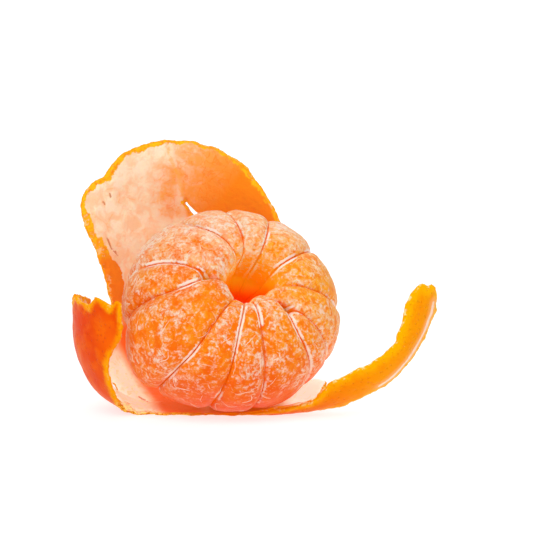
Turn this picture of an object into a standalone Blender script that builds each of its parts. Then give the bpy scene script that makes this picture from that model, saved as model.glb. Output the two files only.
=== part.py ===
"""A peeled mandarin resting in its own opened peel.

Twelve loose segments stand round an open core. The fruit leans towards the front,
on the flat bottom of its peel. The peel is one torn piece: a base, a tall flap
behind the fruit, a flap at the front left and a narrow strip at the right.

Units are metres and +Z is up. The front is -Y. The origin is the middle of the flat
spot under the peel, which is the only place where the part touches the table.
"""

import math

import bmesh
import bpy
from mathutils import Vector, noise

MM = 0.001

# The fruit
FRUIT_RADIUS = 30.4 * MM
FRUIT_HALF_HEIGHT = 22.0 * MM
FRUIT_SQUARENESS = 2.3
FRUIT_CENTRE = Vector((5.0, -7.0, 28.4)) * MM
FRUIT_AXIS = Vector((0.28, -0.78, 0.55)).normalized()
SAG = 0.95
LOWEST_FLESH = 1.3 * MM
SAG_SOFTNESS = 1.1 * MM

# How far the lower left bulges out, and where that starts and is full
LEFT_BULGE = 3.8 * MM
BULGE_TOP = (-4.0 * MM, -20.0 * MM)
BULGE_RIGHT = (2.0 * MM, -22.0 * MM)

# The core, which is off centre at the top, and the dimples at both ends
CORE_RADIUS = 4.8 * MM
TOP_DIMPLE_SPREAD = 8.5 * MM
BOTTOM_DIMPLE = (5.0 * MM, 6.5 * MM)
CORE_DRIFT = 0.8 * MM
CORE_DRIFT_RADIUS = 15.0 * MM

# The segments: where each starts round the axis in degrees, how far it reaches out
# beside its neighbours, and in millimetres how far it stands up along the axis, how
# near the axis its head comes and how deep its head dips
SEGMENTS = (
    (112, 1.00, 0.2, 5.6, 6.5),
    (168, 0.985, -0.3, 11.0, 6.0),
    (192, 1.01, 0.3, 4.8, 5.0),
    (233, 0.995, -0.2, 5.0, 4.5),
    (258, 1.01, 0.2, 4.8, 4.0),
    (280, 1.00, 0.0, 3.0, 3.0),
    (317, 0.975, -0.6, 11.8, 4.0),
    (334, 1.005, 0.1, 5.2, 5.5),
    (362, 0.99, -0.2, 8.4, 9.0),
    (400, 1.00, 0.4, 9.6, 10.0),
    (432, 0.995, 0.6, 9.6, 10.0),
    (458, 0.975, -0.1, 8.6, 9.0),
)
SMALL_SEGMENTS = (1, 6)
PINCH_START = 7.5 * MM
PINCH_END = 20.0 * MM
SIDE_WAVE = 2.2
SIDE_WAVE_LENGTH = 16.0 * MM

# How far round some sides turn between the core and the skin, in degrees
SIDE_TURNS = {0: 16.0, 3: 5.0, 4: 7.0, 5: 6.0}
SIDE_TURN_START = 6.0 * MM
SIDE_TURN_END = 26.0 * MM
SEGMENT_GAP = 0.45 * MM
SEGMENT_HEART = 14.0 * MM
CORNER_SHARPNESS = 9.0

# A segment's section: flat sides, a crease of this sharpness and closer rings at it
OUTLINE_STEPS = 28
WIDTH_STEPS = 14
FLATNESS = 19.0
CREASE = 3.8
RING_SPREAD = 1.6

# The peel, and how much thinner it is under the fruit and at its torn edges
PEEL_THICKNESS = 2.4 * MM
BASE_REACH = (23.0 * MM, 13.5 * MM)
BASE_SQUARENESS = 2.8
BASE_RAGGEDNESS = 0.9 * MM
BASE_RISE = 9.0 * MM
BASE_THINNESS = 0.55
TORN_EDGE_THINNESS = 0.5
NEXT_TO_EDGE_THINNESS = 0.8
SIDE_RAGGEDNESS = 1.1 * MM
BASE_RINGS = 5
RIB_SAMPLES = 60

# How full the tall flap's left and right shoulders are, where 2 is round
SHOULDERS = (2.2, 2.35)

# The tall flap's slit, by the flap's columns and rows. It leans to the right below its top.
SLIT_COLUMN = 15
SLIT_BOTTOM = 9
SLIT_TOP = 19
SLIT_HALF_WIDTH = 1.5 * MM
SLIT_LEAN = 2.0
SLIT_LEAN_ROWS = 2.5
SLIT_LEAN_SPREAD = 5.0

ORANGE_FLESH = (0.90, 0.30, 0.05, 1.0)
ORANGE_PEEL = (0.90, 0.24, 0.01, 1.0)


def mm(x, y, z):
    return Vector((x, y, z)) * MM


def smoothstep(low, high, value):
    step = min(1.0, max(0.0, (value - low) / (high - low)))
    return step * step * (3.0 - 2.0 * step)


def ripple(seed, along, size):
    """A smooth random swing between about -size and +size."""
    return size * noise.noise(Vector((along, seed * 7.3, seed * 3.1)))


def finish(name, colour, roughness, softness):
    material = bpy.data.materials.new(name)
    material.use_nodes = True
    shader = material.node_tree.nodes["Principled BSDF"]
    shader.inputs["Base Color"].default_value = colour
    shader.inputs["Roughness"].default_value = roughness
    shader.inputs["Metallic"].default_value = 0.0
    shader.inputs["Subsurface Weight"].default_value = softness
    return material


def mesh_object(name, bm, collection, material, place):
    mesh = bpy.data.meshes.new(name)
    bm.to_mesh(mesh)
    bm.free()
    mesh.materials.append(material)
    mesh.shade_smooth()
    piece = bpy.data.objects.new(name, mesh)
    piece.location = place
    collection.objects.link(piece)
    return piece


# The segments

def crown_height(radius, dimple):
    """Height of the fruit's surface over its middle plane, at a radius from the axis."""
    depth, spread = dimple
    share = min(1.0, abs(radius) / FRUIT_RADIUS)
    dome = FRUIT_HALF_HEIGHT * (1.0 - share ** FRUIT_SQUARENESS) ** (1.0 / FRUIT_SQUARENESS)
    return dome - depth * math.exp(-(radius / spread) ** 2)


def surface_distance(direction, dip):
    """How far the dimpled surface is from a segment's heart, in a direction."""
    low = 0.0
    high = 2.0 * FRUIT_RADIUS
    for _ in range(40):
        middle = 0.5 * (low + high)
        radius = SEGMENT_HEART + middle * math.cos(direction)
        height = middle * math.sin(direction)
        dimple = (dip, TOP_DIMPLE_SPREAD) if height >= 0.0 else BOTTOM_DIMPLE
        if abs(height) < crown_height(radius, dimple) and radius < FRUIT_RADIUS:
            low = middle
        else:
            high = middle
    return low


def core_distance(direction, core, head):
    """How far the open core is from a segment's heart, below and up at its head."""
    inward = -math.cos(direction)
    if inward <= 0.05:
        return 4.0 * FRUIT_RADIUS
    wall = core + (head - core) * smoothstep(0.1, 0.7, math.sin(direction))
    return (SEGMENT_HEART - wall) / inward


def outline_distance(direction, core, head, dip):
    """The segment's D-shaped outline, with its corners rounded off."""
    outer = surface_distance(direction, dip)
    inner = core_distance(direction, core, head)
    return (outer ** -CORNER_SHARPNESS + inner ** -CORNER_SHARPNESS) ** (-1.0 / CORNER_SHARPNESS)


def side_angle(index, radius, height):
    """Where the side between two segments stands round the axis. It is a little wavy.

    A small segment's two sides meet before they reach the core.
    """
    turns, place = divmod(index, len(SEGMENTS))
    start = SEGMENTS[place][0] + 360 * turns
    start += ripple(place + 1, (radius + 0.6 * height) / SIDE_WAVE_LENGTH, SIDE_WAVE)
    start += SIDE_TURNS.get(place, 0.0) * smoothstep(SIDE_TURN_START, SIDE_TURN_END, radius)
    for small in SMALL_SEGMENTS:
        if index in (small, small + 1):
            middle = 0.5 * (SEGMENTS[small][0] + SEGMENTS[small + 1][0])
            start = middle + (start - middle) * smoothstep(PINCH_START, PINCH_END, radius)
    return math.radians(start)


def axis_frame():
    """Two directions across the fruit's axis, the first one level with the front."""
    side = Vector((1.0, 0.0, 0.0))
    side = (side - FRUIT_AXIS * side.dot(FRUIT_AXIS)).normalized()
    return side, FRUIT_AXIS.cross(side)


def settle(point):
    """Let a point sink as ripe fruit does, with its underside pressed flat.

    The lower left bulges out over the peel.
    """
    floor = LOWEST_FLESH - FRUIT_CENTRE.z
    height = SAG * point.z - floor
    pressed = SAG_SOFTNESS * math.log1p(math.exp(height / SAG_SOFTNESS))
    bulge = LEFT_BULGE * smoothstep(*BULGE_TOP, point.z) * smoothstep(*BULGE_RIGHT, point.x)
    return Vector((point.x - bulge, point.y, floor + pressed))


def segment(index, collection, material):
    """A sphere primitive reshaped into one segment.

    The sphere's poles become the two flat sides, and its meridians run round the
    D-shaped outline.
    """
    reach, lift, head, dip = SEGMENTS[index][1:]
    core = head * MM if index in SMALL_SEGMENTS else CORE_RADIUS
    side, over = axis_frame()
    bm = bmesh.new()
    bmesh.ops.create_uvsphere(bm, u_segments=OUTLINE_STEPS, v_segments=WIDTH_STEPS, radius=1.0)
    for vertex in bm.verts:
        x, y, z = vertex.co
        direction = math.atan2(y, x)
        tilt = math.atan2(math.hypot(x, y), abs(z)) / (0.5 * math.pi)
        ring = 0.5 * math.pi * tilt ** RING_SPREAD
        outward = math.sin(ring) ** (2.0 / FLATNESS)
        across = math.copysign(max(0.0, math.cos(ring)) ** (2.0 / CREASE), z)
        distance = outward * outline_distance(direction, core, head * MM, dip * MM)
        radius = SEGMENT_HEART + distance * math.cos(direction)
        height = distance * math.sin(direction)
        margin = math.asin(min(1.0, 0.5 * SEGMENT_GAP / radius))
        first = side_angle(index, radius, height) + margin
        second = side_angle(index + 1, radius, height) - margin
        angle = first + (second - first) * 0.5 * (1.0 + across)
        if radius > SEGMENT_HEART:
            radius = SEGMENT_HEART + (radius - SEGMENT_HEART) * reach
        height += lift * MM * smoothstep(SEGMENT_HEART, 0.0, radius - height)
        drift = CORE_DRIFT * math.exp(-(radius / CORE_DRIFT_RADIUS) ** 2)
        drift *= smoothstep(-0.5 * FRUIT_HALF_HEIGHT, FRUIT_HALF_HEIGHT, height)
        spot = side * (drift + radius * math.cos(angle)) + over * (radius * math.sin(angle))
        vertex.co = settle(spot + FRUIT_AXIS * height)
    if bm.calc_volume(signed=True) < 0.0:
        bmesh.ops.reverse_faces(bm, faces=bm.faces)
    name = "segment_{:02d}".format(index + 1)
    return mesh_object(name, bm, collection, material, FRUIT_CENTRE)


# The peel. Each flap is a run of stations from the base to its torn end. A station is
# its first edge point, its second edge point and how far its middle bellies out.

BACK_FLAP = (
    (mm(-29.0, 13.0, 3.5), mm(15.0, 19.0, 4.0), mm(-1.0, 7.0, -2.0)),
    (mm(-33.5, 17.0, 13.0), mm(22.0, 24.0, 14.0), mm(-1.0, 10.0, -2.0)),
    (mm(-30.0, 17.0, 27.0), mm(25.0, 25.0, 28.0), mm(-1.0, 14.0, 0.0)),
    (mm(-34.0, 15.0, 43.0), mm(22.0, 20.5, 43.0), mm(0.0, 16.0, 0.0)),
    (mm(-40.0, 14.0, 57.0), mm(18.8, 17.0, 54.0), mm(0.0, 14.0, 3.0)),
    (mm(-38.5, 13.0, 70.0), mm(18.6, 14.0, 67.0), mm(0.0, 12.0, 5.0)),
)
FRONT_FLAP = (
    (mm(-30.0, 6.0, 4.5), mm(-22.5, -12.5, 0.6), mm(-1.0, -0.5, -0.6)),
    (mm(-34.5, 8.5, 12.0), mm(-26.5, -18.0, 6.0), mm(-3.5, -1.5, -1.0)),
    (mm(-36.5, 10.0, 20.0), mm(-28.0, -23.0, 16.0), mm(-5.5, -2.0, 0.0)),
    (mm(-36.0, 9.0, 28.0), mm(-23.9, -26.5, 24.5), mm(-7.5, -2.5, 0.0)),
    (mm(-33.5, 6.5, 33.5), mm(-24.5, -28.0, 37.0), mm(-8.5, -3.0, -1.0)),
)
STRIP = (
    (mm(26.5, -9.0, 0.6), mm(26.0, -16.0, 3.6), mm(0.0, -0.6, -0.6)),
    (mm(32.3, -9.0, 1.2), mm(31.0, -17.0, 8.5), mm(0.0, -1.0, -0.8)),
    (mm(37.8, -9.0, 2.5), mm(36.5, -17.5, 11.8), mm(0.4, -1.2, -0.8)),
    (mm(46.0, -9.0, 6.6), mm(43.0, -18.0, 15.5), mm(0.8, -1.2, -0.6)),
    (mm(52.8, -9.0, 12.6), mm(49.0, -18.0, 19.6), mm(1.0, -1.2, -0.4)),
    (mm(57.6, -9.0, 19.6), mm(51.3, -18.0, 25.0), mm(1.2, -1.2, -0.2)),
    (mm(61.3, -9.0, 27.6), mm(52.8, -18.0, 31.0), mm(1.2, -1.2, 0.0)),
    (mm(62.6, -9.0, 35.0), mm(54.8, -17.0, 38.6), mm(1.0, -1.0, 0.0)),
)
RIGHT_LIP = (
    (mm(28.5, -2.5, 2.4), mm(19.0, 13.5, 1.6), mm(1.5, 1.5, 0.0)),
    (mm(32.5, -2.0, 7.0), mm(24.0, 15.5, 5.5), mm(2.5, 2.0, 0.0)),
)


def base_edge(heading):
    """The edge of the peel's base, a rounded oval, in a direction in degrees."""
    turn = math.radians(heading)
    along = abs(math.cos(turn) / BASE_REACH[0]) ** BASE_SQUARENESS
    aside = abs(math.sin(turn) / BASE_REACH[1]) ** BASE_SQUARENESS
    reach = (along + aside) ** (-1.0 / BASE_SQUARENESS)
    way = Vector((math.cos(turn), math.sin(turn), 0.0))
    return way * (reach + BASE_RAGGEDNESS * noise.noise(6.0 * way + Vector((0.0, 0.0, 4.4))))


def smooth_path(points, share):
    """A point on the smooth curve through some points, from the second to the last."""
    spans = len(points) - 2
    place = min(share, 0.999999) * spans
    first = int(place)
    step = place - first
    before = points[first]
    start = points[first + 1]
    end = points[first + 2]
    after = points[first + 3] if first + 3 < len(points) else 2.0 * end - start
    return 0.5 * (
        2.0 * start
        + (end - before) * step
        + (2.0 * before - 5.0 * start + 4.0 * end - after) * step ** 2
        + (3.0 * start - before - 3.0 * end + after) * step ** 3
    )


def even_points(points, reach, count):
    """Points an even distance apart along the smooth curve, up to a share of it."""
    samples = [smooth_path(points, k / RIB_SAMPLES) for k in range(RIB_SAMPLES + 1)]
    lengths = [0.0]
    for start, end in zip(samples, samples[1:]):
        lengths.append(lengths[-1] + (end - start).length)
    result = []
    place = 0
    for k in range(1, count + 1):
        wanted = lengths[-1] * reach * k / count
        while place < RIB_SAMPLES - 1 and lengths[place + 1] < wanted:
            place += 1
        step = (wanted - lengths[place]) / (lengths[place + 1] - lengths[place])
        result.append(samples[place].lerp(samples[place + 1], min(1.0, step)))
    return result


class Flap:
    """A part of the peel that leaves the base between two headings, in degrees.

    ends gives how much of its length a column has, and tear how ragged that is.
    """

    def __init__(self, headings, columns, rows, stations, ends, tear, seed):
        self.headings = headings
        self.columns = columns
        self.rows = rows
        self.stations = stations
        self.ends = ends
        self.tear = tear
        self.seed = seed

    def across(self, column):
        """Place across the flap, from -1 to +1, with closer columns at its edges."""
        even = 2.0 * column / self.columns - 1.0
        return 0.5 * (even + math.sin(0.5 * math.pi * even))

    def rib(self, column):
        """The points of one column, from the base's edge to the torn end."""
        heading = self.headings[0] + (self.headings[1] - self.headings[0]) * column / self.columns
        edge = base_edge(heading)
        if not self.stations:
            return [edge]
        u = self.across(column)
        points = [0.5 * edge, edge]
        for first, second, belly in self.stations:
            points.append(first.lerp(second, 0.5 * (1.0 + u)) + belly * (1.0 - u * u))
        reach = self.ends(u) * (1.0 + ripple(self.seed, 9.0 * u, self.tear))
        line = [edge] + even_points(points, reach, self.rows)
        if column in (0, self.columns):
            aside = (self.stations[-1][1] - self.stations[-1][0]).normalized() * u
            for row in range(3, self.rows + 1):
                line[row] = line[row] + aside * ripple(self.seed + 2.0, 0.9 * row, SIDE_RAGGEDNESS)
        for point in line:
            point.z = max(0.0, point.z)
        return line

    def ribs(self):
        return [self.rib(column) for column in range(self.columns + 1)]


class SlitFlap(Flap):
    """The tall flap, whose columns lean with its slit."""

    def leaning(self, column, row):
        """Where across the flap a column's point stands in a row, counted in columns."""
        near = math.exp(-((column - SLIT_COLUMN - 0.5) / SLIT_LEAN_SPREAD) ** 2)
        edge = smoothstep(0.0, 4.0, min(column, self.columns - column))
        return column + SLIT_LEAN * near * edge * smoothstep(SLIT_TOP, SLIT_TOP - SLIT_LEAN_ROWS, row)

    def ribs(self):
        return [
            [self.rib(self.leaning(column, row))[row] for row in range(self.rows + 1)]
            for column in range(self.columns + 1)
        ]


def back_end(u):
    """The tall flap's full round top, with a notch at its left."""
    notch = 0.035 * math.exp(-((u + 0.72) / 0.06) ** 2)
    power = SHOULDERS[0] if u < 0.0 else SHOULDERS[1]
    return 0.71 + 0.29 * max(0.0, 1.0 - abs(u) ** power) ** (1.0 / power) - notch


def front_end(u):
    """The front flap's ragged top, with a dip beside a small peak."""
    dip = 0.08 * math.exp(-((u - 0.45) / 0.14) ** 2)
    return 0.97 - 0.06 * u * u - dip


def strip_end(u):
    """The strip's rounded tip."""
    return 0.9 + 0.1 * math.sqrt(max(0.0, 1.0 - u * u))


def lip_end(u):
    """A lip is lower at its two sides."""
    return 1.0 - 0.3 * u * u


BACK = SlitFlap((160, 55), 30, 24, BACK_FLAP, back_end, 0.015, 2)
FLAPS = (
    Flap((-12, 55), 10, 4, RIGHT_LIP, lip_end, 0.25, 1),
    BACK,
    Flap((160, 212), 16, 14, FRONT_FLAP, front_end, 0.08, 3),
    Flap((212, 300), 14, 0, (), lip_end, 0.0, 4),
    Flap((348, 300), 7, 26, STRIP, strip_end, 0.04, 5),
)


def add_patch(bm, columns, rows, place):
    """A grid primitive whose vertices are put where a function says."""
    made = bmesh.ops.create_grid(bm, x_segments=columns, y_segments=rows, size=1.0)
    for vertex in made["verts"]:
        column = round(0.5 * (vertex.co.x + 1.0) * columns)
        row = round(0.5 * (vertex.co.y + 1.0) * rows)
        vertex.co = place(column, row)


def open_slit(bm, ribs):
    """The narrow see-through tear in the tall flap, widest not far below its top."""
    left = ribs[SLIT_COLUMN]
    right = ribs[SLIT_COLUMN + 1]
    middles = [0.5 * (left[row] + right[row]) for row in range(len(left))]
    centres = [0.5 * (middles[row] + middles[row + 1]) for row in range(SLIT_BOTTOM, SLIT_TOP)]
    torn = [
        face for face in bm.faces
        if min((face.calc_center_median() - centre).length for centre in centres) < 0.2 * MM
    ]
    bmesh.ops.delete(bm, geom=torn, context="FACES_ONLY")
    for row in range(SLIT_BOTTOM, SLIT_TOP + 1):
        taper = math.sin(math.pi * math.sqrt((SLIT_TOP - row) / (SLIT_TOP - SLIT_BOTTOM)))
        for rib in (left, right):
            aside = (rib[row] - middles[row]).normalized()
            corner = min(bm.verts, key=lambda vertex: (vertex.co - rib[row]).length)
            corner.co = middles[row] + aside * SLIT_HALF_WIDTH * (0.4 + 0.6 * taper)


def set_thickness(bm):
    """Weights for the wall: thin where the fruit presses and along the torn edges."""
    layer = bm.verts.layers.deform.verify()
    for vertex in bm.verts:
        beyond = math.hypot(vertex.co.x / BASE_REACH[0], vertex.co.y / BASE_REACH[1])
        beyond = max(beyond, vertex.co.z / BASE_RISE)
        weight = BASE_THINNESS + (1.0 - BASE_THINNESS) * smoothstep(0.9, 1.5, beyond)
        if vertex.is_boundary:
            weight *= TORN_EDGE_THINNESS
        elif any(edge.other_vert(vertex).is_boundary for edge in vertex.link_edges):
            weight *= NEXT_TO_EDGE_THINNESS
        vertex[layer][0] = weight


def peel(collection, material):
    """The torn peel: an open sheet, which is the skin, given its thickness inwards."""
    bm = bmesh.new()
    for flap in FLAPS:
        ribs = flap.ribs()
        if flap.rows:
            add_patch(bm, flap.columns, flap.rows, lambda column, row: ribs[column][row])
        add_patch(bm, flap.columns, BASE_RINGS, lambda column, row: ribs[column][0] * (row / BASE_RINGS))
        if flap is BACK:
            back_ribs = ribs
    bmesh.ops.remove_doubles(bm, verts=bm.verts, dist=0.02 * MM)
    bmesh.ops.recalc_face_normals(bm, faces=bm.faces)
    lowest = min(bm.faces, key=lambda face: face.calc_center_median().length)
    if lowest.normal.z > 0.0:
        bmesh.ops.reverse_faces(bm, faces=bm.faces)
    set_thickness(bm)
    open_slit(bm, back_ribs)
    piece = mesh_object("peel", bm, collection, material, Vector((0.0, 0.0, 0.0)))
    group = piece.vertex_groups.new(name="thickness")
    wall = piece.modifiers.new("peel thickness", "SOLIDIFY")
    wall.thickness = PEEL_THICKNESS
    wall.offset = -1.0
    wall.vertex_group = group.name
    wall.use_quality_normals = True
    return piece


def main():
    for existing in list(bpy.data.objects):
        bpy.data.objects.remove(existing, do_unlink=True)
    collection = bpy.data.collections.new("peeled_mandarin")
    bpy.context.scene.collection.children.link(collection)
    flesh = finish("segment_flesh", ORANGE_FLESH, 0.38, 0.3)
    skin = finish("mandarin_peel", ORANGE_PEEL, 0.42, 0.1)
    for index in range(len(SEGMENTS)):
        segment(index, collection, flesh)
    peel(collection, skin)


main()
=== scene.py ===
import math
import random

import bmesh
import bpy
import numpy as np
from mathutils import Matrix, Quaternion, Vector
from mathutils.bvhtree import BVHTree


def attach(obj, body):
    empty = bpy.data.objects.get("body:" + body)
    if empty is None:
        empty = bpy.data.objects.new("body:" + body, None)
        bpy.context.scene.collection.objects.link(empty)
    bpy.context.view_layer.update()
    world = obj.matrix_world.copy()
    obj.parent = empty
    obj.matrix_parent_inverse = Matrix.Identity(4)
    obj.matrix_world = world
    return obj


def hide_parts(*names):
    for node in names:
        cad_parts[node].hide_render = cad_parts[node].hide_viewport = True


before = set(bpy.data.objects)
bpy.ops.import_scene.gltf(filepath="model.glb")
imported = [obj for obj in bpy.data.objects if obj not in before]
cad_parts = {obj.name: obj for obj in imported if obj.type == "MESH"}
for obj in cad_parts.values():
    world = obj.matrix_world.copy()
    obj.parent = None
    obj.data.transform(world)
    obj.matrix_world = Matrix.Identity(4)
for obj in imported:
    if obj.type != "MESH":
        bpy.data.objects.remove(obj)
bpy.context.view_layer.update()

# A peeled mandarin resting in its own opened peel. Every piece is a refined copy of its
# solid or lies on one. Metres, +Z up, the front is -Y.

MM = 0.001

# The fruit, as the solids have it
FRUIT_CENTRE = Vector((5.0, -7.0, 28.4)) * MM
FRUIT_AXIS = Vector((0.28, -0.78, 0.55)).normalized()
FRUIT_RADIUS = 30.4 * MM

# The camera looks at this point from this far, a little from above
CAMERA_TARGET = Vector((17.74, -7.0, 37.6)) * MM
CAMERA_ELEVATION = 7.0
CAMERA_DISTANCE = 700.0 * MM
CAMERA_LENS = 166.0
SENSOR_WIDTH = 36.0
NEAREST_SEEN = 0.05
FARTHEST_SEEN = 20.0

# How far a line of sight comes down for each step back
SIGHT_DROP = 0.12

# How bright the white surroundings are as a light, and how wide the floor is
SURROUNDINGS = 0.42
FLOOR_SIZE = 60.0

# Lines on the inner side of the back flap and the base, in millimetres: where the flap
# bends, and where its pith has cracked
CREASE = (
    (-13.4, 24.0, 71.5),
    (-12.5, 24.8, 67.3),
    (-10.5, 25.8, 62.9),
    (-9.5, 27.4, 57.0),
    (-8.4, 27.9, 55.6),
)
CRACKS = (
    ((-30.1, 16.8, 45.8), (-29.0, 17.1, 42.9), (-27.1, 18.6, 40.5)),
    ((-29.8, 19.9, 58.3), (-29.4, 19.9, 57.2)),
    ((-31.4, 18.5, 56.0), (-31.0, 18.5, 55.2)),
    ((-21.2, 9.6, 1.7), (-19.7, 8.0, 1.1), (-17.6, 0.4, 1.3)),
)

# The strip's edge where a line of pith shows, with a painted sheen beside it, in millimetres
STRIP_EDGE = (
    (60.6, -12.5, 31.0),
    (60.0, -12.4, 27.8),
    (57.3, -12.4, 21.2),
    (53.1, -12.7, 14.6),
    (50.1, -12.1, 11.3),
    (46.2, -11.7, 8.0),
)

# The slit in the back flap as seen from the front, in millimetres, and the share by
# which it closes
SLIT = ((-8.4, 0.0, 55.6), (-7.9, 0.0, 54.2), (-6.4, 0.0, 52.1), (-5.4, 0.0, 50.5))
SLIT_CLOSES = 0.45

# What the way to a line counts as in x, y and z where the line is farther off
FAR_OFF = 9.0

# On the back flap's inner side: the middle and the width of the stretch that is worn thin
# and the middle of the bare patch at the lower left, in millimetres, and the spread of
# that patch in square millimetres
WORN_X = -12.8
WORN_WIDTH = 4.2
BARE_X = -29.5
BARE_Z = 33.0
BARE_SPREAD = 60.0

# What tells the peel's sheets apart
THICKEST_WALL = 2.9 * MM
SHARP_EDGE = math.radians(40.0)
LEVEL_FACE = 0.8
JUST_UNDER = 0.01 * MM

# In millimetres: how far a segment's side may reach out to meet its neighbour and how far
# it may fill a groove, the filling from which a spot is smoothed as a fold, and how far
# sides that touch press
LARGEST_REACH = 0.5
LARGEST_FILLING = 1.5
LEAST_FOLD = 0.1
TOUCH = 0.03

# Dents and lumps as layers of noise: size in millimetres, octaves, seed and height
SEGMENT_RELIEF = ((8.0, 2, 1, 0.24), (3.0, 2, 2, 0.13), (1.3, 1, 3, 0.035))
PEEL_RELIEF = ((5.0, 2, 5, 0.16), (1.8, 2, 6, 0.05))

# How high pith and streaks stand and how deep the crease and the cracks are, in millimetres
PITH_LIFT = 0.07
STREAK_LIFT = 0.16
CREASE_DEPTH = 0.35
CRACK_DEPTH = 0.3

# Streaks on the segments: the distance in millimetres from the axis where they are as
# wide as their noise, and the share by which that is drawn out along them
STREAK_RADIUS = 14.0
STREAK_PULL = 0.2

# Strands of pith on the segments
STRANDS = 220
STRAND_SEED = 4
STRAND_RADIUS = 0.11 * MM
THINNEST_STRAND = 0.5
STRAND_LIFT = 0.02 * MM
STRAND_STEP = 0.4 * MM
STRAND_STEPS = (5, 15)
STRAND_TURN = 0.28
STRAND_SPREAD = 0.9
STRAND_SINK = -0.1
STRAND_START = 45.0 * MM
STRAND_LOWEST = 24.0 * MM

# How far the torn rim is shaken out of line, and the noise that shakes it
RAGGED = 0.24 * MM
RAG_SIZE = 1.9 * MM
RAG_SEEDS = (11, 12, 13)

# Mesh sizes, the share of its faces that keeps the peel under 200,000 triangles, and how
# far apart corners of one solid's faces may be and still be merged
SEGMENT_VOXEL = 0.3 * MM
PEEL_VOXEL = 0.38 * MM
PEEL_SHARE = 0.62
SAME_CORNER = 0.01 * MM

# What stirs the place of a grid's corner into a random number: a factor for x, y, z and
# the seed, then rounds of a shift and a factor
STIR_X = 374761393
STIR_Y = 668265263
STIR_Z = 1274126177
STIR_SEED = 362437
STIR_ROUNDS = ((13, 1274126177), (15, 2246822519))
LOW_BITS = 0xFFFFFFFF

# Keeps a share of nothing from being divided by nothing
TINY = 1e-6


def srgb(red, green, blue):
    """A colour as a screen shows it, from 0 to 255, in the numbers that shaders use."""
    def linear(level):
        level = level / 255.0
        return level / 12.92 if level <= 0.04045 else ((level + 0.055) / 1.055) ** 2.4
    return (linear(red), linear(green), linear(blue), 1.0)


# Shader maths

class Wire:
    """A socket in a material. Arithmetic on it adds Math nodes."""

    def __init__(self, paint, socket):
        self.paint = paint
        self.socket = socket

    def math(self, operation, *others, clamp=False):
        settings = {"operation": operation, "use_clamp": clamp}
        return self.paint.node("ShaderNodeMath", settings, dict(enumerate((self, *others))))

    def __add__(self, other):
        return self.math("ADD", other)

    __radd__ = __add__

    def __sub__(self, other):
        return self.math("SUBTRACT", other)

    def __rsub__(self, other):
        return (self * -1.0) + other

    def __mul__(self, other):
        return self.math("MULTIPLY", other)

    __rmul__ = __mul__

    def __pow__(self, other):
        return self.math("POWER", other)

    def __abs__(self):
        return self.math("ABSOLUTE")

    def clamp(self):
        return self.math("ADD", 0.0, clamp=True)

    def over(self, low, high):
        """0 below low and 1 above high, or the other way round, with a soft step between."""
        settings = {"interpolation_type": "SMOOTHSTEP"}
        sockets = {"Value": self, "From Min": low, "From Max": high}
        if low > high:
            sockets = {"Value": self, "From Min": high, "From Max": low, "To Min": 1.0, "To Max": 0.0}
        return self.paint.node("ShaderNodeMapRange", settings, sockets)

    def most(self, other):
        return self.math("MAXIMUM", other)


class Paint:
    """A material with one Principled shader."""

    def __init__(self, name):
        self.material = bpy.data.materials.new(name)
        self.material.use_nodes = True
        self.tree = self.material.node_tree
        self.shader = self.tree.nodes["Principled BSDF"]

    def node(self, kind, settings, sockets, output=0):
        """A node of any kind: its settings first, then its sockets' values or wires."""
        made = self.tree.nodes.new(kind)
        for name, value in settings.items():
            setattr(made, name, value)
        for name, value in sockets.items():
            if isinstance(value, Wire):
                self.tree.links.new(value.socket, made.inputs[name])
            else:
                made.inputs[name].default_value = value
        return Wire(self, made.outputs[output])

    def attribute(self, name):
        return self.node("ShaderNodeAttribute", {"attribute_name": name}, {}, "Fac")

    def position(self):
        """The place in the object, in millimetres."""
        place = self.node("ShaderNodeTexCoord", {}, {}, "Object")
        return self.node("ShaderNodeVectorMath", {"operation": "SCALE"}, {0: place, "Scale": 1.0 / MM})

    def stretched(self, place, scale):
        return self.node("ShaderNodeVectorMath", {"operation": "MULTIPLY"}, {0: place, 1: scale})

    def shifted(self, place, amount):
        return self.node("ShaderNodeVectorMath", {"operation": "ADD"}, {0: place, 1: amount})

    def noise(self, place, size, detail=3.0, roughness=0.6, distortion=0.0):
        """Noise whose lumps are about size millimetres across."""
        sockets = {
            "Vector": place,
            "Scale": 1.0 / size,
            "Detail": detail,
            "Roughness": roughness,
            "Distortion": distortion,
        }
        return self.node("ShaderNodeTexNoise", {"noise_dimensions": "3D"}, sockets)

    def cells(self, place, size, feature="F1", output="Distance"):
        sockets = {"Vector": place, "Scale": 1.0 / size}
        return self.node("ShaderNodeTexVoronoi", {"feature": feature}, sockets, output)

    def mix(self, factor, first, second):
        """Two colours, blended by a factor."""
        sockets = {0: factor, 6: first, 7: second}
        return self.node("ShaderNodeMix", {"data_type": "RGBA"}, sockets, 2)

    def coats(self, colour, *coats):
        """A colour under coats, each given by how far it covers and by its own colour."""
        for cover, coat in coats:
            colour = self.mix(cover, colour, coat)
        return colour

    def bump(self, height, distance):
        sockets = {"Height": height, "Distance": distance, "Strength": 1.0}
        return self.node("ShaderNodeBump", {}, sockets)

    def feed(self, **wires):
        """Links wires to the shader, named as its sockets are, with _ for a space."""
        for name, wire in wires.items():
            self.tree.links.new(wire.socket, self.shader.inputs[name.replace("_", " ")])

    def set(self, **values):
        for name, value in values.items():
            self.shader.inputs[name.replace("_", " ")].default_value = value


# Materials

WARM_GLOSS = (1.0, 0.55, 0.25, 1.0)
NO_GLOW = srgb(0, 0, 0)

# How far red, green and blue light go under the flesh's and the peel's surface
LIGHT_SPREAD = (1.0, 0.4, 0.1)


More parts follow.
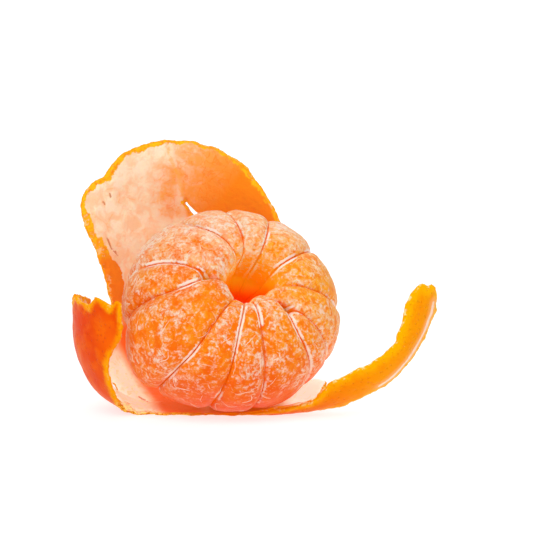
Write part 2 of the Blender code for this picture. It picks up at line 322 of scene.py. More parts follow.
class FleshPaint(Paint):
    """A segment's thin skin over juice sacs, with spongy white pith left on it."""

    def __init__(self):
        super().__init__("segment_flesh")
        place = self.position()
        self.groove = self.attribute("groove")
        self.hole = self.attribute("hole")
        self.pith = self.attribute("pith")
        # The film mark is a white film of pith, and towards the top and back also a painted highlight
        self.film = self.attribute("film")
        # The red mark is painted shade: deep red where shade falls low on the fruit, by the peel, in
        # the hole and in folds
        self.red = self.attribute("red")
        self.edge = self.attribute("edge")
        self.yellow = self.attribute("yellow")
        self.throat = self.attribute("throat")
        self.broad = self.noise(place, 5.0, 2.0)
        self.mottle = self.noise(place, 1.7, 3.0, 0.6, 0.8)
        self.fine = self.noise(place, 0.8, 2.0, 0.6, 0.6)
        self.sacs = self.cells(self.stretched(place, (1.0, 1.0, 0.6)), 2.1, "DISTANCE_TO_EDGE")
        curls = abs(self.noise(place, 1.6, 2.0, 0.5, 1.4) - 0.5)
        drawn_out = self.stretched(place, (1.0, 1.0, 0.5))
        long_curls = abs(self.noise(drawn_out, 2.6, 2.0, 0.5, 1.0) - 0.5)
        self.fibres = curls.over(0.075, 0.02).most(long_curls.over(0.04, 0.01))

    def white(self):
        """Where white pith covers the flesh: in spots, in tangled fibres and on the edges, where it is
        also a painted highlight.
        """
        spots = (self.fine * 0.55 + self.mottle * 0.45 + self.pith * 0.2).over(0.57, 0.72)
        tangle = (self.mottle * 0.6 + self.fine * 0.4 + self.pith * 0.3).over(0.54, 0.72)
        # White pith on the edges beside the grooves, and a painted highlight along them
        rims_and_highlights = (self.edge + (self.fine - 0.5) * 1.2).over(0.28, 0.62)
        white = (spots * 0.62).most(self.fibres * tangle * 0.84).most(rims_and_highlights)
        # Less pith shows in the hole and in the painted shade
        return white * (1.0 - self.hole) * (1.0 - self.red * 0.8)

    def colour(self, white):
        haze_and_highlight = (self.film + (self.mottle - 0.5) * 1.6 + (self.fine - 0.5)).clamp()
        deep = self.mix(self.broad.over(0.4, 0.6), srgb(250, 112, 0), srgb(252, 134, 6))
        return self.coats(
            self.mix(self.broad.over(0.35, 0.65), srgb(240, 120, 4), srgb(246, 146, 16)),
            (self.yellow, srgb(250, 170, 30)),
            (self.mottle.over(0.52, 0.34) * 0.6, srgb(240, 98, 0)),
            (self.sacs.over(0.2, 0.0) * 0.3, srgb(240, 104, 4)),
            (self.throat * 0.6, srgb(252, 164, 40)),
            # White film, and towards the top and back a painted highlight
            (haze_and_highlight * (1.0 - self.hole), srgb(252, 212, 176)),
            # Painted shade: deep red low on the fruit, by the peel, in the hole and in folds
            (self.red, srgb(238, 64, 4)),
            # Painted shade: a darker orange in the grooves between segments
            (self.groove * 0.85, srgb(238, 90, 4)),
            # The hole's own deep orange, red in its painted shade
            (self.hole, self.mix(self.red, deep, srgb(240, 60, 4))),
            (white, srgb(255, 228, 212)),
        )

    def glow(self):
        """Painted light: a glow standing in for light that comes through the flesh, in the grooves, in
        the hole and round its mouth, red where the hole has painted shade.
        """
        warm = self.mix(self.hole * self.red, srgb(104, 104, 4), srgb(120, 20, 0))
        return self.coats(
            NO_GLOW,
            # Painted light in the grooves
            (self.groove * 0.6, srgb(126, 90, 2)),
            (self.hole.most(self.throat * 0.75), warm),
        )


def flesh_material():
    paint = FleshPaint()
    white = paint.white()
    height = paint.sacs.over(0.0, 0.35) * 0.4 + paint.fine * 0.6 + white + paint.mottle * 0.5
    paint.feed(
        Base_Color=paint.colour(white),
        Roughness=0.34 + white * 0.26 + paint.fine * 0.12,
        Emission_Color=paint.glow(),
        Normal=paint.bump(height * (1.0 - paint.hole), 0.13 * MM),
    )
    paint.set(
        Subsurface_Weight=0.3,
        Subsurface_Radius=LIGHT_SPREAD,
        Subsurface_Scale=1.0 * MM,
        Specular_IOR_Level=0.5,
        Specular_Tint=WARM_GLOSS,
        IOR=1.28,
        Emission_Strength=1.0,
    )
    return paint.material


def strand_material():
    """Loose white pith strands, warmer where they are thin."""
    paint = Paint("pith_strand")
    fine = paint.noise(paint.position(), 0.8, 3.0, 0.6)
    paint.feed(
        Base_Color=paint.mix(fine.over(0.4, 0.65), srgb(255, 226, 206), srgb(255, 204, 168)),
        Roughness=0.55 + fine * 0.2,
        Normal=paint.bump(fine, 0.05 * MM),
    )
    paint.set(
        Subsurface_Weight=0.2,
        Subsurface_Radius=(1.0, 0.5, 0.3),
        Subsurface_Scale=0.4 * MM,
        Specular_IOR_Level=0.3,
        Specular_Tint=WARM_GLOSS,
    )
    return paint.material


class PeelPaint(Paint):
    """Waxy pored skin outside, pale spongy pith inside and on the torn rim."""

    def __init__(self):
        super().__init__("mandarin_peel")
        place = self.position()
        self.depth = self.attribute("depth")
        self.rim = self.attribute("rim")
        self.bare = self.attribute("bare")
        # The thin mark is pith worn thin, and painted shade with light through the peel on the right
        # lobe
        self.thin = self.attribute("thin")
        # The fruit's painted shade and reflected light on the peel
        self.near = self.attribute("near_fruit")
        self.crease = self.attribute("crease")
        self.crack = self.attribute("crack")
        self.strip_edge = self.attribute("strip_edge")
        self.strip_start = self.attribute("strip_start")
        # Painted light in the shaded cup and at the strip's start
        self.cup = self.attribute("cup")
        self.cup_line = self.attribute("cup_line")
        self.front_rim = self.attribute("front_rim")
        self.broad = self.noise(place, 14.0, 2.0)
        self.medium = self.noise(place, 3.5, 4.0, 0.6, 0.4)
        self.small = self.noise(place, 1.6, 3.0, 0.6, 0.6)
        self.fine = self.noise(place, 0.8, 3.0, 0.65)
        self.pits = self.cells(place, 1.15).over(0.32, 0.05)
        self.veins = abs(self.noise(place, 4.5, 3.0, 0.55, 0.8) - 0.5).over(0.03, 0.0)
        shaken = self.shifted(place, (self.medium - 0.5) * 3.0)
        self.folds = self.cells(shaken, 9.0, "DISTANCE_TO_EDGE").over(0.035, 0.0)
        self.east = self.node("ShaderNodeSeparateXYZ", {}, {0: place}).over(15.0, 50.0)
        self.torn = self.rim.over(0.7, 0.1) * self.small.over(0.53, 0.62)
        self.split = (self.crack + (self.small - 0.5) * 0.9).over(0.5, 0.15)
        self.inner = (self.depth + (self.fine - 0.5) * 0.5).over(0.66, 0.8)

    def skin(self):
        """The outside: red orange with pores, more golden at the right and at the torn rim."""
        by_rim = (self.rim + (self.small - 0.5) * 1.6).over(2.2, 0.3)
        by_east_rim = (self.rim + (self.small - 0.5) * 2.0).over(3.6, 1.0)
        by_strip_edge = (self.strip_edge + (self.medium - 0.5) * 1.2).over(0.9, 0.5)
        return self.coats(
            self.mix(self.broad.over(0.35, 0.65), srgb(228, 66, 2), srgb(238, 92, 4)),
            (self.east * 0.9, srgb(250, 158, 2)),
            (self.medium.over(0.45, 0.7) * 0.35, srgb(248, 124, 4)),
            (self.pits * (0.4 - self.east * 0.32), srgb(206, 56, 2)),
            (by_rim * 0.9, srgb(252, 168, 2)),
            (self.east * by_east_rim * 0.8, srgb(254, 180, 0)),
            (self.torn * 0.5, srgb(255, 222, 140)),
            (self.east * self.torn, srgb(255, 232, 170)),
            # Painted sheen beside the strip's edge
            (self.strip_edge.over(2.6, 1.0) * 0.5, srgb(255, 178, 116)),
            (by_strip_edge * 0.85, srgb(255, 222, 200)),
            # Painted shade under the fruit
            (self.near * 0.5, srgb(246, 92, 8)),
        )

    def pith(self):
        """The inside: pale pith, orange where it is worn thin, painted shade with light through it on
        the right lobe, painted shade and reflected light by the fruit, and bare at the rim.
        """
        white = self.mix(self.small.over(0.5, 0.66), srgb(255, 240, 228), srgb(252, 206, 162))
        blotch = (self.medium * 0.6 + self.small * 0.4 + self.thin * 0.4).over(0.62, 0.86)
        by_crease = (self.crease + (self.small - 0.5) * 2.2).over(0.7, 0.0)
        fruit_shade_colour = self.mix(self.near.over(0.6, 0.9), srgb(252, 132, 24), srgb(248, 84, 8))
        ragged = self.rim + (self.medium - 0.5) * 2.2 + (self.small - 0.5) * 1.6 + (self.fine - 0.5)
        band = (self.bare - ragged).over(-0.2, 0.2)
        golden = self.mix(self.small.over(0.42, 0.62), srgb(254, 186, 12), srgb(248, 146, 4))
        golden = self.mix(self.bare.over(1.6, 3.0), golden, srgb(246, 132, 8))
        cup_rim = self.cup_line * (self.rim + (self.small - 0.5) * 1.2).over(1.8, 1.0)
        return self.coats(
            self.mix(self.medium.over(0.38, 0.62), srgb(255, 236, 208), srgb(253, 212, 172)),
            (self.folds * self.medium.over(0.5, 0.65) * 0.5, srgb(252, 182, 110)),
            # Whiter pith in the cup, a painted light
            ((self.small.over(0.6, 0.75) * 0.3).most(self.cup * 0.85), white),
            (blotch * 0.75, srgb(254, 178, 80)),
            # Orange where the pith is worn thin, and painted shade on the right lobe
            (self.thin ** 1.5, srgb(252, 138, 2)),
            (self.veins * self.thin.over(0.3, 0.7) * 0.5, srgb(250, 122, 0)),
            (by_crease * 0.5, srgb(252, 172, 40)),
            (self.split * 0.75, srgb(206, 112, 44)),
            # Painted shade and reflected orange light by the fruit
            (self.near, fruit_shade_colour),
            (band, golden),
            (self.torn * 0.6, srgb(255, 226, 170)),
            (cup_rim, srgb(255, 244, 224)),
        )

    def colour(self):
        """Skin and pith, with the dashes on the rim at the front."""
        dashes = self.mix(self.fine.over(0.44, 0.54), srgb(226, 124, 16), srgb(255, 200, 70))
        return self.coats(
            self.skin(),
            (self.inner, self.pith()),
            (self.front_rim * self.rim.over(1.2, 0.5) * 0.9, dashes),
        )

    def glow(self):
        """Painted light: a glow in the pith for the light that the white surroundings send into it,
        stronger in the cup and at the strip's start, and orange by the fruit.
        """
        glow = self.coats(
            srgb(72, 50, 26),
            # Painted light in the cup and at the strip's start
            (self.cup, srgb(150, 136, 112)),
            (self.strip_start, srgb(190, 182, 170)),
            # Painted reflected light from the fruit
            (self.near, srgb(112, 62, 0)),
            (self.split * 0.5, NO_GLOW),
        )
        return self.mix(self.inner, NO_GLOW, glow)


def peel_material():
    paint = PeelPaint()
    spongy = paint.fine * 0.9 + paint.small * 0.9 + paint.medium * 0.4
    height = (1.0 - paint.pits) * (1.0 - paint.inner) + spongy * paint.inner
    paint.feed(
        Base_Color=paint.colour(),
        Roughness=0.36 + paint.inner * 0.34 + (paint.fine - 0.5) * 0.15,
        Emission_Color=paint.glow(),
        Normal=paint.bump(height, 0.16 * MM),
    )
    paint.set(
        Subsurface_Weight=0.2,
        Subsurface_Radius=LIGHT_SPREAD,
        Subsurface_Scale=1.0 * MM,
        Specular_IOR_Level=0.3,
        Specular_Tint=WARM_GLOSS,
        IOR=1.15,
        Emission_Strength=1.0,
    )
    return paint.material


def floor_material():
    paint = Paint("studio_floor")
    paint.set(
        Base_Color=(0.4, 0.4, 0.4, 1.0),
        Roughness=0.7,
        Specular_IOR_Level=0.1,
        Emission_Color=(1.0, 1.0, 1.0, 1.0),
        Emission_Strength=0.72,
    )
    return paint.material


# Mesh work

def select_only(piece):
    bpy.ops.object.select_all(action="DESELECT")
    piece.select_set(True)
    bpy.context.view_layer.objects.active = piece


def merged_copy(node, name):
    """A copy of a solid's mesh with its loose triangles merged."""
    piece = bpy.data.objects.new(name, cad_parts[node].data.copy())
    bpy.context.scene.collection.objects.link(piece)
    piece.data.materials.clear()
    select_only(piece)
    bpy.ops.object.mode_set(mode="EDIT")
    bpy.ops.mesh.select_all(action="SELECT")
    bpy.ops.mesh.remove_doubles(threshold=SAME_CORNER)
    bpy.ops.object.mode_set(mode="OBJECT")
    return piece


def apply(piece, kind, **settings):
    """Adds a modifier and applies it."""
    select_only(piece)
    modifier = piece.modifiers.new(kind.lower(), kind)
    for name, value in settings.items():
        setattr(modifier, name, value)
    bpy.ops.object.modifier_apply(modifier=modifier.name)


def smooth(piece, rounds, **settings):
    """Draws each point half way to the middle of its neighbours, some rounds over."""
    apply(piece, "SMOOTH", factor=0.5, iterations=rounds, **settings)


def refine(piece, voxel, rounds):
    """Makes a merged copy of a solid a fine and smooth mesh."""
    select_only(piece)
    bpy.ops.object.mode_set(mode="EDIT")
    bpy.ops.mesh.select_all(action="SELECT")
    bpy.ops.mesh.tris_convert_to_quads()
    bpy.ops.object.mode_set(mode="OBJECT")
    apply(piece, "SUBSURF", levels=2, render_levels=2)
    apply(piece, "REMESH", mode="VOXEL", voxel_size=voxel)
    smooth(piece, rounds)


def points_and_normals(piece):
    mesh = piece.data
    points = np.zeros(len(mesh.vertices) * 3, np.float32)
    normals = np.zeros(len(mesh.vertices) * 3, np.float32)
    mesh.vertices.foreach_get("co", points)
    mesh.vertex_normals.foreach_get("vector", normals)
    return points.reshape(-1, 3), normals.reshape(-1, 3)


def move(piece, points):
    piece.data.vertices.foreach_set("co", points.astype(np.float32).ravel())
    piece.data.update()


def fade(values, low, high):
    """0 at low and 1 at high, which may be the smaller, with a soft step between."""
    step = np.clip((values - low) / (high - low), 0.0, 1.0)
    return step * step * (3.0 - 2.0 * step)


def keep_marks(piece, **marks):
    """Keeps each mark's number at each point, for the piece's material to read."""
    for name, values in marks.items():
        attribute = piece.data.attributes.new(name, "FLOAT", "POINT")
        attribute.data.foreach_set("value", np.asarray(values, np.float32))


def lattice(corner, seed):
    """A random number from -1 to 1 for each corner of a grid of cubes."""
    x, y, z = corner.astype(np.int64).T
    mixed = (x * STIR_X + y * STIR_Y + z * STIR_Z + seed * STIR_SEED) & LOW_BITS
    for shift, factor in STIR_ROUNDS:
        mixed = ((mixed ^ (mixed >> shift)) * factor) & LOW_BITS
    return ((mixed >> 8) & 0xFFFF) / 32767.5 - 1.0


def noise_field(points, size, octaves=2, seed=0):
    """Smooth noise at each point, lumps of about size metres, from about -1 to 1."""
    total = np.zeros(len(points))
    weight = 1.0
    for octave in range(octaves):
        place = points / size * 2.1 ** octave
        start = np.floor(place)
        step = place - start
        step = step * step * (3.0 - 2.0 * step)
        for corner in np.ndindex(2, 2, 2):
            share = np.prod(np.where(corner, step, 1.0 - step), axis=1)
            total += weight * share * lattice(start + corner, seed * 31 + octave)
        weight *= 0.55
    return total


def relief(points, layers):
    """The height of dents and lumps at each point, in millimetres."""
    total = np.zeros(len(points))
    for size, octaves, seed, height in layers:
        total += height * noise_field(points, size * MM, octaves, seed)
    return total


def surface_of(pieces):
    """A search tree over the faces of some pieces."""
    vertices = []
    faces = []
    for piece in pieces:
        start = len(vertices)
        vertices += [vertex.co.copy() for vertex in piece.data.vertices]
        faces += [[start + index for index in face.vertices] for face in piece.data.polygons]
    return BVHTree.FromPolygons(vertices, faces)


def solids_surface(nodes):
    return surface_of([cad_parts[node] for node in nodes])


def distances(tree, points):
    return np.array([tree.find_nearest(point)[3] for point in points.tolist()])


def towards(tree, points):
    """How far each point is from a surface in millimetres, and the way to it."""
    gaps = []
    ways = []
    for point in points.tolist():
        spot, _, _, distance = tree.find_nearest(point)
        gaps.append(distance / MM)
        ways.append((spot - Vector(point)).normalized())
    return np.array(gaps), np.array(ways)


def to_line(points, line):
    """The way from each point to a bent line, all in millimetres."""
    ways = np.full(points.shape, FAR_OFF)
    for start, end in zip(line, line[1:]):
        start = np.array(start)
        run = np.array(end) - start
        share = np.clip((points - start) @ run / (run @ run), 0.0, 1.0)
        way = start + share[:, None] * run - points
        closer = np.linalg.norm(way, axis=1) < np.linalg.norm(ways, axis=1)
        ways[closer] = way[closer]
    return ways


def line_distance(points, line):
    return np.linalg.norm(to_line(points, line), axis=1)


# The segments

class FruitPlaces:
    """Where points lie on the fruit: x and z in millimetres, two noises, the rest as shares."""

    def __init__(self, points):
        offset = points - np.array(FRUIT_CENTRE)
        axis = np.array(FRUIT_AXIS)
        height = offset @ axis / MM
        across = offset - (offset @ axis)[:, None] * axis
        radius = np.linalg.norm(across, axis=1) / MM
        x, _, z = (points / MM).T
        self.x = x
        self.z = z
        self.low = np.clip((32.0 - z) / 30.0, 0.0, 1.0)
        self.back = np.clip((8.0 - height) / 20.0, 0.0, 1.0) * fade(z, 12.0, 22.0)
        self.left = np.clip((13.0 - x) / 40.0, 0.0, 1.0) * fade(z, 24.0, 40.0)
        self.right = fade(x, -5.0, 12.0)
        self.top = fade(z, 36.0, 56.0)
        self.head = fade(radius, 12.0, 6.0) * fade(height, 13.0, 16.0)
        self.hole = fade(radius, 12.0, 8.5) * fade(height, 15.0, 11.5) * fade(z, 40.5, 36.5)
        self.throat = fade(radius, 14.5, 10.0) * fade(height, 19.0, 15.0)
        self.clusters = noise_field(points, 6.0 * MM, seed=9)

        # Streaks that run towards the hole
        side = np.array(FRUIT_AXIS.orthogonal())
        turn = np.arctan2(across @ np.cross(axis, side), across @ side)
        run = np.stack([turn * STREAK_RADIUS, radius * STREAK_PULL, height * STREAK_PULL], axis=1)
        self.streaks = noise_field(run * MM, 1.8 * MM, seed=8) * fade(radius, 23.0, 15.0)


def pith_left(at):
    """How much pith is left on each spot of a segment."""
    share = 0.18 + 0.24 * at.low * at.right + 0.2 * at.back + 0.2 * at.head + 0.15 * at.top
    share += 0.2 * at.clusters + 0.15 * at.streaks
    return np.clip(share - 0.5 * fade(at.z, 12.0, 4.0), 0.0, 1.0)


def film_and_highlight(at):
    """How much of a thin white film lies on each spot of a segment; towards the top and the back it is
    also a painted highlight.
    """
    share = 0.06 + 0.46 * at.top + 0.3 * at.back + 0.1 * at.left + 0.2 * at.head
    share += 0.15 * at.clusters + 0.3 * at.streaks
    return np.clip(share * fade(at.z, 4.0, 16.0), 0.0, 0.7)


def red_shade(at, to_peel, filling):
    """Painted shade: how red each spot of a segment is made where shade falls, low down, by the peel,
    deep in the hole and in folds.
    """
    share = 0.85 * at.low * at.low + 0.8 * fade(to_peel, 3.5, 0.5)
    share += 0.9 * at.hole * fade(at.z, 37.0, 31.0) + 0.7 * fade(filling, LEAST_FOLD, 0.4)
    return np.clip(share, 0.0, 0.9)


def press_sides(piece, others):
    """Presses a segment's sides to its neighbours and fills the grooves between them.

    It returns how far each point was from the neighbours, and how far it was filled out.
    """
    points, normals = points_and_normals(piece)
    gaps, ways = towards(others, points)
    reach = np.minimum(0.5 * gaps + TOUCH, LARGEST_REACH) * fade(gaps, 2.4, 1.0)
    facing = np.sum(normals * ways, axis=1)
    filling = np.minimum(0.5 * gaps, LARGEST_FILLING) * fade(facing, 0.7, 0.95) * fade(gaps, 4.5, 3.0)
    reach = np.maximum(reach, filling)
    move(piece, points + ways * reach[:, None] * MM)
    folded = piece.vertex_groups.new(name="folded")
    folded.add(np.flatnonzero(filling > LEAST_FOLD).tolist(), 1.0, "REPLACE")
    smooth(piece, rounds=8, vertex_group=folded.name)
    piece.vertex_groups.clear()
    return gaps, filling


def segment_piece(node, others, peel_tree, material):
    """A segment's solid made smooth and plump, with dents, sacs, pith and pressed sides."""
    piece = merged_copy(node, node.replace("segment", "flesh_segment"))
    refine(piece, SEGMENT_VOXEL, rounds=6)
    gaps, filling = press_sides(piece, others)
    points, normals = points_and_normals(piece)
    at = FruitPlaces(points)
    to_peel = distances(peel_tree, points) / MM
    pith = pith_left(at)
    crumbs = np.clip(noise_field(points, 1.2 * MM, seed=7) + pith - 0.3, 0.0, 1.0)
    lift = relief(points, SEGMENT_RELIEF) + crumbs * PITH_LIFT + at.streaks * STREAK_LIFT
    free = fade(gaps, 0.5, 2.0) * (1.0 - at.hole)
    points = points + normals * (lift * free)[:, None] * MM
    move(piece, points)
    smooth(piece, rounds=1)
    # The edges' white and painted highlight are broken up by noise and strongest on the upper left
    broken = np.clip(0.45 + 0.45 * at.left + 0.9 * noise_field(points, 5.0 * MM, seed=4), 0.0, 1.0)
    middle = FRUIT_CENTRE / MM
    keep_marks(
        piece,
        groove=fade(gaps, 1.25, 0.9),
        edge=fade(gaps, 1.0, 1.25) * fade(gaps, 1.85, 1.45) * broken,
        hole=at.hole,
        throat=at.throat,
        pith=pith,
        film=film_and_highlight(at),
        yellow=0.85 * fade(at.x - middle.x + 0.6 * (at.z - middle.z), 0.0, 30.0),
        # The red mark is painted shade
        red=red_shade(at, to_peel, filling),
    )
    piece.data.materials.append(material)
    piece.data.shade_smooth()
    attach(piece, "root")
    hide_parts(node)
    return piece


def segment_nodes():
    return sorted(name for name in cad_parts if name.startswith("segment_"))


def segments(material):
    nodes = segment_nodes()
    peel_tree = solids_surface(["peel"])
    made = []
    for node in nodes:
        others = solids_surface([other for other in nodes if other != node])
        made.append(segment_piece(node, others, peel_tree, material))
    return made


def strand_route(tree, dice):
    """Points of one strand, which wanders over the segments from a spot found from outside."""
    outward = Vector((dice.gauss(0.0, 1.0), dice.gauss(0.0, 1.0), dice.gauss(STRAND_SINK, 1.0)))
    outward.normalize()
    spot, normal, _, _ = tree.ray_cast(FRUIT_CENTRE + outward * STRAND_START, -outward)
    if spot is None or (spot - FRUIT_CENTRE).length < STRAND_LOWEST:
        return []
    along = FRUIT_AXIS.cross(normal).cross(normal)
    way = Quaternion(normal, dice.gauss(0.0, STRAND_SPREAD)) @ along.normalized()
    route = []
    for _ in range(dice.randint(*STRAND_STEPS)):
        route.append(spot + normal * STRAND_LIFT)
        way = (Quaternion(normal, dice.gauss(0.0, STRAND_TURN)) @ way).normalized()
        spot, normal, _, _ = tree.find_nearest(spot + way * STRAND_STEP)
        way = (way - normal * way.dot(normal)).normalized()
    return route


def pith_strands(pieces, material):
    """Fine white strands of pith that lie on the segments."""
    tree = surface_of(pieces)
    dice = random.Random(STRAND_SEED)
    curve = bpy.data.curves.new("pith_strands", "CURVE")
    curve.dimensions = "3D"
    curve.bevel_depth = STRAND_RADIUS
    curve.bevel_resolution = 1
    curve.use_fill_caps = True
    for _ in range(STRANDS):
        route = strand_route(tree, dice)
        if not route:
            continue
        thickness = dice.uniform(THINNEST_STRAND, 1.0)
        line = curve.splines.new("POLY")
        line.points.add(len(route) - 1)
        for index, (point, place) in enumerate(zip(line.points, route)):
            point.co = (*place, 1.0)
            point.radius = thickness * math.sin(math.pi * (index + 0.5) / len(route)) ** 0.5
    strands = bpy.data.objects.new("pith_strands", curve)
    bpy.context.scene.collection.objects.link(strands)
    select_only(strands)
    bpy.ops.object.convert(target="MESH")
    strands = bpy.context.view_layer.objects.active
    strands.data.materials.clear()
    strands.data.materials.append(material)
    strands.data.shade_smooth()
    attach(strands, "root")


# The peel

def sheets_of(piece):
    """The faces of the wall's outside, inside and torn rim.

    Behind a rim face the wall goes on for longer than it is thick. A sheet is all that
    can be reached from its middle without a rim face or a sharp edge in between.
    """
    bm = bmesh.new()
    bm.from_mesh(piece.data)
    wall = BVHTree.FromBMesh(bm)
    rim = set()
    for face in bm.faces:
        start = face.calc_center_median() - face.normal * JUST_UNDER
        far = wall.ray_cast(start, -face.normal)[3]
        if far is None or far > THICKEST_WALL:
            rim.add(face.index)
    sheets = []
    for facing in (-1.0, 1.0):
        level = [face for face in bm.faces if face.normal.z * facing > LEVEL_FACE]
        start = min(level, key=lambda face: face.calc_center_median().length)
        found = {start.index}
        front = [start]
        while front:
            for edge in front.pop().edges:
                if edge.calc_face_angle() > SHARP_EDGE:
                    continue
                for other in edge.link_faces:
                    if other.index not in found and other.index not in rim:
                        found.add(other.index)
                        front.append(other)
        sheets.append(found)
    outer, inner = sheets
    rest = set(range(len(bm.faces))) - outer - inner
    bm.free()
    return outer, inner, rest


def tree_of(piece, indices):
    """A search tree over some of a piece's faces."""
    vertices = [vertex.co.copy() for vertex in piece.data.vertices]
    faces = [list(face.vertices) for face in piece.data.polygons if face.index in indices]
    return BVHTree.FromPolygons(vertices, faces)


def with_slit_closed(points):
    """The points, with those beside the slit drawn towards it."""
    to_slit = to_line(points / MM * (1.0, 0.0, 1.0), SLIT)
    share = SLIT_CLOSES * fade(np.linalg.norm(to_slit, axis=1), 3.5, 1.2)
    return points + to_slit * share[:, None] * MM


def with_rim_torn(points, to_rim, front_rim):
    """The points, with those near the rim shaken out of line and none below the table."""
    x, y, z = (points / MM).T
    front_top = fade(z, 20.0, 27.0) * fade(y, 12.0, 6.0) * fade(x, -15.0, -22.0)
    shake = [noise_field(points, RAG_SIZE, octaves=3, seed=seed) for seed in RAG_SEEDS]
    shake = np.stack(shake, axis=1)
    ragged = RAGGED * (1.0 + front_top + front_rim) * fade(to_rim, 1.8, 0.3)
    points = points + shake * ragged[:, None]
    points[:, 2] = np.maximum(points[:, 2], 0.0)
    return points


def painted_fruit_shade(points):
    """Painted shade and reflected orange light from the fruit on the peel: close by it, and as a
    painted shadow along its outline as seen from the front.
    """
    x, y, z = (points / MM).T
    middle = FRUIT_CENTRE / MM
    seen_height = z + SIGHT_DROP * (y - middle.y)
    outline = np.hypot(x - middle.x, seen_height - middle.z) - FRUIT_RADIUS / MM
    along = fade(outline, 5.2, 2.2) * fade(outline, -7.0, -2.0)
    # A painted shadow along the fruit's outline, low on its left
    under = 0.92 * along * fade(x, 5.0, -5.0) * fade(z, 28.0, 18.0)
    to_fruit = distances(solids_surface(segment_nodes()), points) / MM
    return np.maximum(under, 0.9 * fade(to_fruit, 4.0, 0.5))


def flap_marks(points):
    """How orange each spot of the pith is, where it is worn thin and across the right lobe as painted
    shade with light through it, and how broad the bare band along the rim is.
    """
    x, y, z = (points / MM).T
    flap = fade(y, 2.0, 8.0) * fade(z, 12.0, 24.0)
    # Across the right lobe the pith is painted orange as shade and light through the peel
    right_lobe = fade(x + 0.21 * (z - 60.0), -11.5, -9.0)
    thin = right_lobe * np.clip(0.56 + (x + 10.0) / 45.0 + (66.0 - z) / 60.0, 0.0, 1.0)
    worn = 0.62 * np.exp(-((x - WORN_X) / WORN_WIDTH) ** 2) * fade(z, 47.0, 52.0) * fade(z, 69.0, 64.0)
    upper_left = fade(x, -8.0, -20.0) * fade(z, 54.0, 62.0)
    lower_left = np.exp(-((x - BARE_X) ** 2 + (z - BARE_Z) ** 2) / BARE_SPREAD)
    base_rim = fade(z, 16.0, 10.0) * fade(y, -9.0, -5.0)
    bare = 1.0 + (0.5 * upper_left + 3.8 * lower_left) * flap - 3.0 * base_rim
    return np.maximum(thin, worn) * flap, bare


def peel_piece(material):
    """The peel's solid made smooth, with dents, a torn rim, and marks for its colours."""
    piece = merged_copy("peel", "opened_peel")
    outer_tree, inner_tree, rim_tree = [tree_of(piece, faces) for faces in sheets_of(piece)]
    refine(piece, PEEL_VOXEL, rounds=4)
    apply(piece, "DECIMATE", ratio=PEEL_SHARE)
    points, normals = points_and_normals(piece)
    to_outer = distances(outer_tree, points) / MM
    to_inner = distances(inner_tree, points) / MM
    to_rim = distances(rim_tree, points) / MM
    crease = line_distance(points / MM, CREASE)
    crack = np.min([line_distance(points / MM, line) for line in CRACKS], axis=0)
    lift = relief(points, PEEL_RELIEF)
    lift -= CREASE_DEPTH * fade(crease, 1.6, 0.0) + CRACK_DEPTH * fade(crack, 0.8, 0.0)
    points = with_slit_closed(points + normals * lift[:, None] * MM)
    x, y, z = (points / MM).T
    front_rim = fade(y, -6.0, -9.0) * fade(z, 5.0, 3.0) * fade(x, -3.0, -8.0)
    points = with_rim_torn(points, to_rim, front_rim)
    move(piece, points)
    x, y, z = (points / MM).T
    thin, bare = flap_marks(points)
    # Painted light at the strip's start, which lies in the fruit's shade
    strip_start = fade(z, 18.0, 12.0) * fade(x, 18.0, 24.0)
    keep_marks(
        piece,
        depth=to_outer / (to_outer + to_inner + TINY),
        rim=to_rim,
        thin=thin,
        bare=bare,
        strip_edge=line_distance(points / MM, STRIP_EDGE),
        near_fruit=painted_fruit_shade(points),
        cup=np.maximum(fade(z, 16.0, 8.0) * fade(x, 4.0, -12.0), strip_start),
        strip_start=strip_start,
        cup_line=fade(x, -15.0, -19.0) * fade(y, -7.0, -10.0) * fade(z, 34.0, 26.0),
        front_rim=front_rim,
        crease=crease,
        crack=crack,
    )
    piece.data.materials.append(material)
    piece.data.shade_smooth()
    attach(piece, "root")
    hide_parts("peel")


# The studio

def studio_floor():
    bpy.ops.object.select_all(action="DESELECT")
    bpy.ops.mesh.primitive_plane_add(size=FLOOR_SIZE, location=(0.0, 0.0, 0.0))
    floor = bpy.context.active_object
    floor.name = "floor"
    floor.data.materials.append(floor_material())


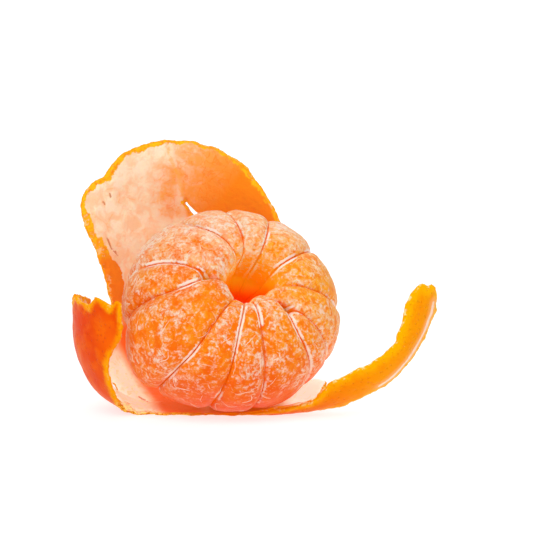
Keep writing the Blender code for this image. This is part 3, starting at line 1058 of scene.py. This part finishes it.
def soft_sun(name, heading, height, strength, spread):
    """Even light from a wide soft source, given by where it stands, in degrees."""
    data = bpy.data.lights.new(name, "SUN")
    data.energy = strength
    data.angle = math.radians(spread)
    lamp = bpy.data.objects.new(name, data)
    turn = math.radians(heading)
    lift = math.radians(height)
    place = Vector((math.sin(turn) * math.cos(lift), -math.cos(turn) * math.cos(lift), math.sin(lift)))
    lamp.location = place
    lamp.rotation_mode = "QUATERNION"
    lamp.rotation_quaternion = place.to_track_quat("Z", "Y")
    bpy.context.scene.collection.objects.link(lamp)


def white_surroundings():
    """Soft light from all round, in front of a pure white background."""
    world = bpy.data.worlds.new("studio")
    world.use_nodes = True
    tree = world.node_tree
    sky = tree.nodes["Background"]
    sky.inputs["Color"].default_value = (1.0, 1.0, 1.0, 1.0)
    seen = tree.nodes.new("ShaderNodeLightPath")
    level = tree.nodes.new("ShaderNodeMapRange")
    level.inputs["To Min"].default_value = SURROUNDINGS
    level.inputs["To Max"].default_value = 1.0
    tree.links.new(seen.outputs["Is Camera Ray"], level.inputs["Value"])
    tree.links.new(level.outputs["Result"], sky.inputs["Strength"])
    bpy.context.scene.world = world


def studio():
    studio_floor()
    soft_sun("key_light", heading=-25.0, height=50.0, strength=1.55, spread=40.0)
    soft_sun("right_light", heading=70.0, height=35.0, strength=0.55, spread=60.0)
    soft_sun("back_light", heading=170.0, height=50.0, strength=0.7, spread=60.0)
    white_surroundings()
    bpy.context.scene.view_settings.view_transform = "Standard"


def camera():
    data = bpy.data.cameras.new("camera")
    data.sensor_width = SENSOR_WIDTH
    data.lens = CAMERA_LENS
    data.clip_start = NEAREST_SEEN
    data.clip_end = FARTHEST_SEEN
    eye = bpy.data.objects.new("camera", data)
    lift = math.radians(CAMERA_ELEVATION)
    back = Vector((0.0, -math.cos(lift), math.sin(lift)))
    eye.location = CAMERA_TARGET + CAMERA_DISTANCE * back
    eye.rotation_mode = "QUATERNION"
    eye.rotation_quaternion = back.to_track_quat("Z", "Y")
    bpy.context.scene.collection.objects.link(eye)
    bpy.context.scene.camera = eye


camera()
studio()
flesh = segments(flesh_material())
pith_strands(flesh, strand_material())
peel_piece(peel_material())
